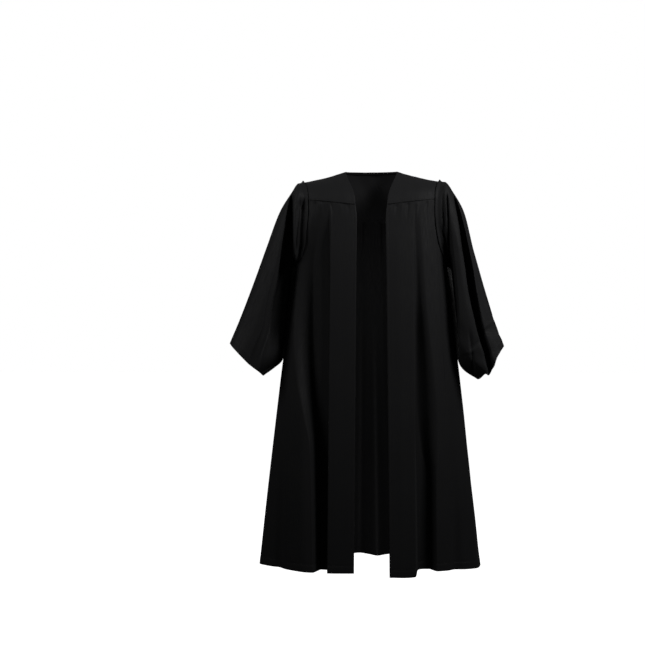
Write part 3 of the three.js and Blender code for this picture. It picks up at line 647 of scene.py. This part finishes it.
def yoke_points(upper, tilt, thread, forward, down):
    """A yoke falls from its upper edge, at the tilt of the shoulder there, to the yoke seam."""
    lower = body_points(thread, top_drop(thread))[0]
    fall = np.linalg.norm(upper - lower, axis=-1, keepdims=True)
    angle = np.radians(tilt)
    flat = np.zeros_like(angle)
    leave = np.stack([flat, forward * np.cos(angle), -np.sin(angle)], axis=-1) * fall
    arrive = np.array([0, forward * YOKE_SEAM_LEAN, -1]) / math.hypot(YOKE_SEAM_LEAN, 1) * fall
    return hermite(upper, leave, lower, arrive, np.asarray(down, float)[:, None, None])


def shoulder_tilt(across):
    return mix(NECK_POINT_TILT, SHOULDER_TILT, np.asarray(across, float))


def front_yoke(side, across, down):
    thread = FRONT_ARM_THREAD * np.asarray(across, float)
    thread = thread if side == RIGHT else 4 - thread
    return yoke_points(shoulder_point(side, across), shoulder_tilt(across), thread, -1, down)


NECK_THREAD = 2 - (1 - BACK_ARM_THREAD) * NECK_HALF_WIDTH / SHOULDER_HALF_WIDTH


def back_shoulder(side, across, down):
    thread = mix(NECK_THREAD, 1 + BACK_ARM_THREAD, np.asarray(across, float))
    thread = thread if side == RIGHT else 4 - thread
    return yoke_points(shoulder_point(side, across), shoulder_tilt(across), thread, 1, down)


def back_neck(turn, down):
    angle, towards = np.radians(turn), np.asarray(turn, float) / 90
    upper = np.stack([
        NECK_HALF_WIDTH * np.sin(angle),
        NECK_Y + BACK_NECK_DEPTH * np.cos(angle),
        BACK_NECK_RISE * np.cos(angle),
    ], axis=-1)
    tilt = mix(BACK_NECK_TILT, NECK_POINT_TILT, towards**2)
    return yoke_points(upper, tilt, 2 + (2 - NECK_THREAD) * towards, 1, down)


def yoke_relief(points, seed):
    """Lapped lower edge, its stitched groove and slight unevenness of a yoke."""
    across, down = lengths_along(points, 1), lengths_along(points, 0)
    from_seam = down[-1] - down
    out = YOKE_WAVES * slow_waves(across, down, seed)
    out += LAP_RISE * ridge(from_seam, LAP_RISE_WIDTH)
    out -= YOKE_DENT * ridge(from_seam - YOKE_STITCH, YOKE_DENT_WIDTH)
    out -= SHOULDER_SEAM_DIP * ridge(down, SHOULDER_SEAM_WIDTH)
    return points + outward(points) * out[..., None], across, down


ROWS_AT_SHOULDER = [0, 0.01, 0.025, 0.045]
ROWS_BETWEEN = np.linspace(0.07, 0.93, 40)
ROWS_AT_LAP = [0.945, 0.96, 0.972, 0.985, 1, 1.02]
YOKE_STITCH_ROW = -4
YOKE_COLUMNS = 64
BACK_NECK_COLUMNS = 61
FRONT_YOKE_SEED = 20
BACK_YOKE_SEED = 31

yoke_down = np.concatenate([ROWS_AT_SHOULDER, ROWS_BETWEEN, ROWS_AT_LAP])
yoke_across = np.linspace(0, 1, YOKE_COLUMNS)
for side, name in ((RIGHT, "yoke_front_right"), (LEFT, "yoke_front_left")):
    across = yoke_across if side == RIGHT else yoke_across[::-1]
    points, along, down = yoke_relief(front_yoke(side, across, yoke_down), FRONT_YOKE_SEED + side)
    row = points[YOKE_STITCH_ROW], outward(points)[YOKE_STITCH_ROW]
    stitches = add_stitches(f"{name}_stitches", [row])
    yoke = add_cloth(f"{name}_cloth", name, points, along, down, gown_cloth)

neck_turns = np.linspace(-90, 90, BACK_NECK_COLUMNS)
back_down = yoke_down * BACK_LAP
points = np.concatenate([
    back_shoulder(RIGHT, yoke_across[::-1], back_down)[:, :-1],
    back_neck(neck_turns, back_down),
    back_shoulder(LEFT, yoke_across, back_down)[:, 1:],
], axis=1)
points, along, down = yoke_relief(points, BACK_YOKE_SEED)
row = points[YOKE_STITCH_ROW], outward(points)[YOKE_STITCH_ROW]
stitches = add_stitches("yoke_back_stitches", [row])
yoke = add_cloth("yoke_back_cloth", "yoke_back", points, along, down, gown_cloth)


# Binding at the back of the neck: a narrow strip of closer cloth, folded over the raw neck edge of the back
# yoke and stitched down inside it. Its cloth is coloured about half as dark as the gown's: painted shade
# for the dark line inside the back of the neck.

BINDING_WIDTH = 8
BINDING_IN = 2.1
BINDING_TURN = 84
BINDING_ROWS = 9
BINDING_COLUMNS = 90
BINDING_BULGE = 0.35
BINDING_THICKNESS = 1.1
NECK_STRIP = np.linspace(0.004, 0.2, 40)
# The binding's darker colours are painted shade. They stand in for the shade of the dark line inside the
# back of the neck.
binding_cloth_painted_shade = black_cloth(
    "neck binding painted shade", (0.005, 0.005, 0.006, 1), (0.007, 0.007, 0.008, 1), 2600.0, 0.02
)

neck = back_neck(np.linspace(-BINDING_TURN, BINDING_TURN, BINDING_COLUMNS), NECK_STRIP)
fallen = lengths_along(neck, 0)
wanted = np.linspace(0, BINDING_WIDTH, BINDING_ROWS)
strip = np.stack([
    np.stack([np.interp(wanted, fallen[:, column], neck[:, column, axis]) for axis in range(3)], axis=-1)
    for column in range(neck.shape[1])
], axis=1)
bulge = BINDING_BULGE * np.sin(np.linspace(0, math.pi, BINDING_ROWS))[:, None]
strip = strip - outward(strip) * (BINDING_IN + bulge)[..., None]
binding = add_cloth(
    "back_neck_binding_cloth", "back_neck_binding", strip, lengths_along(strip, 1), lengths_along(strip, 0),
    binding_cloth_painted_shade, thickness=BINDING_THICKNESS,
)


# Sleeves: two wide bell sleeves of the same cloth, gathered into the armholes, with the outer fold
# running to a point. The slanting cuffs are turned up and stitched.

STATION_COLUMNS = ("share", "outer", "outer_drop", "inner", "inner_drop", "depth", "mid")
SLEEVE_STATIONS = {
    RIGHT: [
        (0.05, 231, 45, 252, 338, 103, 2),
        (0.13, 258, 70, 246, 366, 104, 2),
        (0.26, 299, 140, 236, 410, 105, 2),
        (0.45, 342, 256, 226, 474, 106, 1),
        (0.65, 381, 365, 232, 548, 108, -1),
        (0.85, 426, 485, 270, 628, 109, -4),
        (1.00, 461, 574, 357, 679, 110, -9),
    ],
    LEFT: [
        (0.05, 232, 42, 252, 338, 103, 2),
        (0.13, 260, 66, 246, 366, 104, 2),
        (0.26, 301, 140, 236, 410, 105, 2),
        (0.45, 334, 268, 226, 482, 106, 1),
        (0.65, 364, 378, 232, 566, 108, -1),
        (0.85, 400, 497, 272, 652, 109, -4),
        (1.00, 428, 578, 348, 690, 110, -9),
    ],
}

# Main folds of each sleeve: degrees round it at the head and the cuff (0 the outer fold, 90 the front),
# depth, half-widths in degrees, extra length at the cuff, and the shares of the sleeve's length where it
# begins and is full.
SLEEVE_FOLD_COLUMNS = ("head", "cuff", "depth", "before", "after", "longer", "begin", "full")
SLEEVE_FOLDS = {
    RIGHT: [
        (26, 34, 8, 20, 14, 0, 0.04, 0.3),
        (215, 222, -14, 20, 18, 0, 0.12, 0.8),
        (250, 256, 8, 16, 18, 4, 0.1, 0.7),
        (285, 292, -26, 18, 20, 0, 0.06, 0.7),
        (330, 328, 6, 16, 20, 3, 0.05, 0.6),
    ],
    LEFT: [
        (26, 40, 6, 12, 8, 0, 0.04, 0.2),
        (80, 96, 6, 10, 16, 26, 0.04, 0.3),
        (222, 226, -16, 18, 18, 0, 0.12, 0.8),
        (262, 262, 9, 18, 16, 5, 0.1, 0.7),
        (300, 298, -28, 20, 18, 0, 0.06, 0.7),
    ],
}

# Deep troughs down the fronts of the sleeves, by drop: distances of their edges from the centre line of
# the gown, depth, and how wide the cloth takes to turn in at each edge.
SLEEVE_TROUGHS = {
    RIGHT: [
        {
            "drop": [70, 95, 150, 200, 270, 340, 430, 530, 575, 620, 690],
            "inner": [250, 250, 250, 250, 248, 240, 230, 220, 220, 220, 220],
            "outer": [258, 264, 274, 281, 294, 308, 331, 347, 362, 378, 390],
            "depth": [0, 18, 52, 74, 86, 92, 92, 84, 72, 60, 50],
            "inner_wall": [8, 8, 10, 10, 10, 10, 10, 10, 10, 10, 10],
            "outer_wall": [8, 8, 9, 9, 10, 11, 12, 18, 26, 34, 40],
        },
    ],
    LEFT: [
        {
            "drop": [70, 90, 155, 243, 340, 394, 462, 533, 588, 660],
            "inner": [254, 260, 273, 286, 300, 307, 320, 335, 351, 368],
            "outer": [262, 269, 286, 304, 322, 329, 341, 355, 371, 390],
            "depth": [0, 10, 34, 48, 52, 52, 50, 46, 38, 30],
            "inner_wall": [7, 7, 7, 7, 7, 7, 7, 7, 7, 7],
            "outer_wall": [8, 8, 12, 16, 16, 16, 16, 16, 16, 16],
        },
        {
            "drop": [150, 200, 259, 339, 446, 517, 582, 643, 700],
            "inner": [150, 150, 150, 150, 150, 150, 150, 150, 150],
            "outer": [252, 255, 259, 266, 275, 277, 279, 281, 286],
            "depth": [0, 2, 16, 48, 60, 60, 54, 46, 40],
            "inner_wall": [10, 10, 10, 10, 10, 10, 10, 10, 10],
            "outer_wall": [8, 8, 8, 8, 8, 8, 8, 8, 8],
        },
    ],
}

# Small pleats that fall from the sleeve heads: face (below nought the front), distance from the centre
# line of the gown at their top and foot, the drops of these, depth and half-width.
PLEAT_COLUMNS = ("face", "top", "foot", "begin", "end", "depth", "wide")
SLEEVE_PLEATS = {
    RIGHT: [
        (-1, 213, 215, 75, 330, -14, 4.5),
        (-1, 219, 232, 90, 330, -22, 5),
        (-1, 230, 244, 85, 300, -18, 4),
        (-1, 240, 250, 100, 300, -10, 4),
        (1, 213, 218, 80, 240, -6, 3),
        (1, 222, 233, 90, 320, -9, 3.4),
        (1, 233, 250, 80, 260, -6, 3),
    ],
    LEFT: [
        (-1, 227, 229, 60, 260, -5, 2.6),
        (-1, 232, 238, 70, 340, -12, 3.2),
        (-1, 243, 253, 70, 340, -15, 3.6),
        (-1, 312, 330, 520, 700, -5, 4),
        (1, 216, 221, 70, 250, -6, 3),
        (1, 226, 238, 80, 300, -9, 3.4),
        (1, 239, 252, 90, 240, -6, 3),
    ],
}
FACING = 1.6
PLEAT_END = 45
SLEEVE_POWER = 2.8
SLEEVE_CLEAR = 11
CUFF_LONGER_FROM = 0.6
CUFF_STITCH = 20
CUFF_STITCH_SHARE = 0.967
CUFF_DENT = 0.4
CUFF_DENT_WIDTH = 3
CUFF_PUCKERS = (10, 33)
LEAVES_SEAM = 0.03
ARMHOLE_GROOVE = 7
ARMHOLE_GROOVE_WIDTH = 6
ARMHOLE_YOKE_STEPS = 40
SLEEVE_WAVES = 0.7
SLEEVE_WAVES_BEGIN = 0.05
SLEEVE_WAVES_FULL = 0.3
SLEEVE_SEED = 40
SLEEVE_FRONT_COLUMNS = 200
SLEEVE_BACK_COLUMNS = 100
SHARES_AT_SEAM = [0, 0.002, 0.005, 0.009, 0.014]
SHARES_BETWEEN = np.linspace(0.02, 0.94, 120)
SHARES_AT_CUFF = [0.95, 0.957, 0.962, 0.967, 0.973, 0.981, 0.989, 0.996, 1]


def armhole_edge(side, around):
    """The armhole edge at shares round it: down the front from the shoulder, and up the back."""
    def on_side(thread):
        return thread if side == RIGHT else 4 - thread

    def body_edge(thread):
        return body_points(on_side(thread), top_drop(on_side(thread)))[0]

    down = np.linspace(0, 1, ARMHOLE_YOKE_STEPS)
    end = np.array([1.0])
    front = np.concatenate([front_yoke(side, end, down)[:-1, 0], body_edge(front_arm_threads)])
    back = np.concatenate([body_edge(back_arm_threads[:-1]), back_shoulder(side, end, down[::-1])[:, 0]])
    halves = []
    for line, share in ((front, 2 * around[around < 0.5]), (back, 2 * around[around >= 0.5] - 1)):
        along = lengths_along(line[:, None], 0)[:, 0]
        place = share * along[-1]
        halves.append(np.stack([np.interp(place, along, line[:, axis]) for axis in range(3)], axis=-1))
    return np.concatenate(halves)


def clear_of_body(x, y, drop):
    """Where the sleeve would press into the side of the body it lies along it, a little way off."""
    size = {key: smooth_through(drop, BODY_SECTIONS["drop"], BODY_SECTIONS[key]) for key in BODY_SECTIONS}
    reach = np.minimum(np.abs(y) / np.where(y < 0, size["front"], size["back"]), 1)
    least = size["half"] * (1 - reach ** size["power"]) ** (1 / size["power"]) + SLEEVE_CLEAR
    return (x + least + np.hypot(x - least, SLEEVE_CLEAR)) / 2


def sleeve_ring(side, station, around):
    """A ring of the sleeve: a rounded square between the outer and the underarm folds."""
    outer = np.array([station["outer"], -station["outer_drop"]])
    inner = np.array([station["inner"], -station["inner_drop"]])
    middle, reach = (outer + inner) / 2, np.linalg.norm(outer - inner) / 2
    towards = (outer - inner) / (2 * reach)
    out, longer = np.zeros_like(around), np.zeros_like(around)
    for row in SLEEVE_FOLDS[side]:
        fold = dict(zip(SLEEVE_FOLD_COLUMNS, row))
        centre = mix(fold["head"], fold["cuff"], station["share"])
        apart = np.mod(360 * around - centre + 180, 360) - 180
        height = hump(apart, fold["before"], fold["after"])
        out += fold["depth"] * height * smoothstep(station["share"], fold["begin"], fold["full"])
        longer += fold["longer"] * height * smoothstep(station["share"], CUFF_LONGER_FROM, 1)
    cosine, sine = np.cos(2 * math.pi * around), np.sin(2 * math.pi * around)
    bend = 2 / SLEEVE_POWER
    push = np.hypot(cosine / reach, sine / station["depth"])
    along = np.sign(cosine) * reach * np.abs(cosine) ** bend + out * cosine / reach / push
    forward = np.sign(sine) * station["depth"] * np.abs(sine) ** bend + out * sine / station["depth"] / push
    y, z = station["mid"] - forward, middle[1] + towards[1] * along
    x = clear_of_body(middle[0] + towards[0] * along, y, -z)
    return np.stack([side * x, y, z - longer], axis=-1)


round_sleeve = np.concatenate([
    np.linspace(0, 0.5, SLEEVE_FRONT_COLUMNS, endpoint=False),
    np.linspace(0.5, 1, SLEEVE_BACK_COLUMNS, endpoint=False),
])
sleeve_shares = np.concatenate([SHARES_AT_SEAM, SHARES_BETWEEN, SHARES_AT_CUFF])
for side, name in ((RIGHT, "sleeve_right"), (LEFT, "sleeve_left")):
    stations = [dict(zip(STATION_COLUMNS, row)) for row in SLEEVE_STATIONS[side]]
    edge = armhole_edge(side, round_sleeve)
    rings = np.stack([edge, *(sleeve_ring(side, station, round_sleeve) for station in stations)])
    places = [0, *(station["share"] for station in stations)]
    points = smooth_through(sleeve_shares, places, rings)
    facing = np.clip(FACING * np.sin(2 * math.pi * round_sleeve), -1, 1)[None, :]
    away, drop = np.abs(points[..., 0]), -points[..., 2]
    share = sleeve_shares[:, None]
    leaves_seam = smoothstep(share, 0, LEAVES_SEAM)
    for trough in SLEEVE_TROUGHS[side]:
        deep = pleat_depth(trough, drop.ravel(), away.ravel()).reshape(away.shape)
        points[..., 1] += deep * np.maximum(facing, 0) * leaves_seam
    for row in SLEEVE_PLEATS[side]:
        pleat = dict(zip(PLEAT_COLUMNS, row))
        line = mix(pleat["top"], pleat["foot"], (drop - pleat["begin"]) / (pleat["end"] - pleat["begin"]))
        height = ridge(away - line, pleat["wide"]) * leaves_seam
        height *= smoothstep(drop, pleat["begin"], pleat["begin"] + PLEAT_END)
        height *= 1 - smoothstep(drop, pleat["end"] - PLEAT_END, pleat["end"])
        on_face = np.maximum(-pleat["face"] * facing, 0)
        points[..., 1] += pleat["face"] * pleat["depth"] * height * on_face
    off_body = clear_of_body(away.ravel(), points[..., 1].ravel(), drop.ravel()).reshape(away.shape)
    points[..., 0] = side * mix(away, off_body, leaves_seam)
    if side == LEFT:
        points = points[:, ::-1]
    across, down = lengths_along(points, 1), lengths_along(points, 0)
    from_cuff = down[-1] - down
    waves_shown = smoothstep(share, SLEEVE_WAVES_BEGIN, SLEEVE_WAVES_FULL)
    out = SLEEVE_WAVES * slow_waves(across, down, SLEEVE_SEED + side) * waves_shown
    out -= ARMHOLE_GROOVE * ridge(down, ARMHOLE_GROOVE_WIDTH)
    dent = stitch_pucker(across, *CUFF_PUCKERS) - CUFF_DENT
    out += dent * ridge(from_cuff - CUFF_STITCH, CUFF_DENT_WIDTH)
    points = points + outward(points, True) * out[..., None]
    row = np.argmin(np.abs(sleeve_shares - CUFF_STITCH_SHARE))
    stitches = add_stitches(f"{name}_stitches", [(points[row], outward(points, True)[row])])
    sleeve = add_cloth(f"{name}_cloth", name, points, across, down, gown_cloth, is_tube=True)


# Studio: a plain white floor under the hem and a white room round it, one large soft lamp high in
# front on the gown's left side, a weaker one on its right, one behind and a faint one inside.

FLOOR_DROP = 1.46
FLOOR_HALF = 40
FLOOR_CORNERS = [(-1, -1), (1, -1), (1, 1), (-1, 1)]
floor_mesh = bpy.data.meshes.new("floor")
floor_mesh.from_pydata(
    [(x * FLOOR_HALF, y * FLOOR_HALF, -FLOOR_DROP) for x, y in FLOOR_CORNERS],
    [],
    [(0, 1, 2, 3)],
)
floor = bpy.data.objects.new("floor", floor_mesh)
bpy.context.scene.collection.objects.link(floor)
pale = bpy.data.materials.new("pale floor")
pale.use_nodes = True
pale_shader = pale.node_tree.nodes["Principled BSDF"]
pale_shader.inputs["Base Color"].default_value = (0.9, 0.9, 0.9, 1)
pale_shader.inputs["Roughness"].default_value = 0.9
pale_shader.inputs["Emission Color"].default_value = (1, 1, 1, 1)
pale_shader.inputs["Emission Strength"].default_value = 1.0
floor_mesh.materials.append(pale)
floor.visible_diffuse = False
floor.visible_glossy = False

room = bpy.data.worlds.new("white room")
room.use_nodes = True
room_tree = room.node_tree
seen = room_tree.nodes["Background"]
seen.inputs["Color"].default_value = (1, 1, 1, 1)
seen.inputs["Strength"].default_value = 1.0
lit = add_node(room_tree, "ShaderNodeBackground", {"Color": (1, 1, 1, 1), "Strength": 0.02})
path = add_node(room_tree, "ShaderNodeLightPath")
either = add_node(room_tree, "ShaderNodeMixShader", {0: path.outputs["Is Camera Ray"]})
room_tree.links.new(lit.outputs[0], either.inputs[1])
room_tree.links.new(seen.outputs[0], either.inputs[2])
room_tree.links.new(either.outputs[0], room_tree.nodes["World Output"].inputs["Surface"])
bpy.context.scene.world = room


def aim(thing, at):
    """Turn a lamp or the camera towards a point."""
    away = np.asarray(at, float) - np.asarray(thing.location)
    flat = math.hypot(away[0], away[1])
    thing.rotation_euler = (math.atan2(flat, -away[2]), 0, math.atan2(-away[0], away[1]))


LAMP_COLUMNS = ("name", "place", "at", "wide", "high", "watts")
LAMPS = [
    ("key lamp", (1.6, -1.25, 1.2), (0, 0, 0.3), 0.7, 0.9, 26.5),
    ("fill lamp", (-1.85, -0.95, 1.0), (0, 0, 0.25), 0.7, 0.9, 11.8),
    ("back lamp", (-0.9, 2.3, 0.6), (0, 0, -0.5), 0.9, 0.9, 12),
    ("inside lamp", (0, -0.05, -0.76), (0, 1, -0.64), 0.06, 1.3, 0.2),
]
for row in LAMPS:
    lamp = dict(zip(LAMP_COLUMNS, row))
    light = bpy.data.lights.new(lamp["name"], "AREA")
    light.shape = "RECTANGLE"
    light.size = lamp["wide"]
    light.size_y = lamp["high"]
    light.energy = lamp["watts"]
    lamp_object = bpy.data.objects.new(lamp["name"], light)
    lamp_object.location = lamp["place"]
    lamp_object.visible_camera = False
    bpy.context.scene.collection.objects.link(lamp_object)
    aim(lamp_object, lamp["at"])

CAMERA_PLACE = (0, -3.6, -0.6)
CAMERA_AIM = (-0.1625, 0, -0.513)
camera = bpy.data.cameras.new("camera")
camera.lens = 60
camera.sensor_width = 36
camera_object = bpy.data.objects.new("camera", camera)
camera_object.location = CAMERA_PLACE
bpy.context.scene.collection.objects.link(camera_object)
aim(camera_object, CAMERA_AIM)
bpy.context.scene.camera = camera_object
bpy.context.scene.view_settings.view_transform = "Standard"
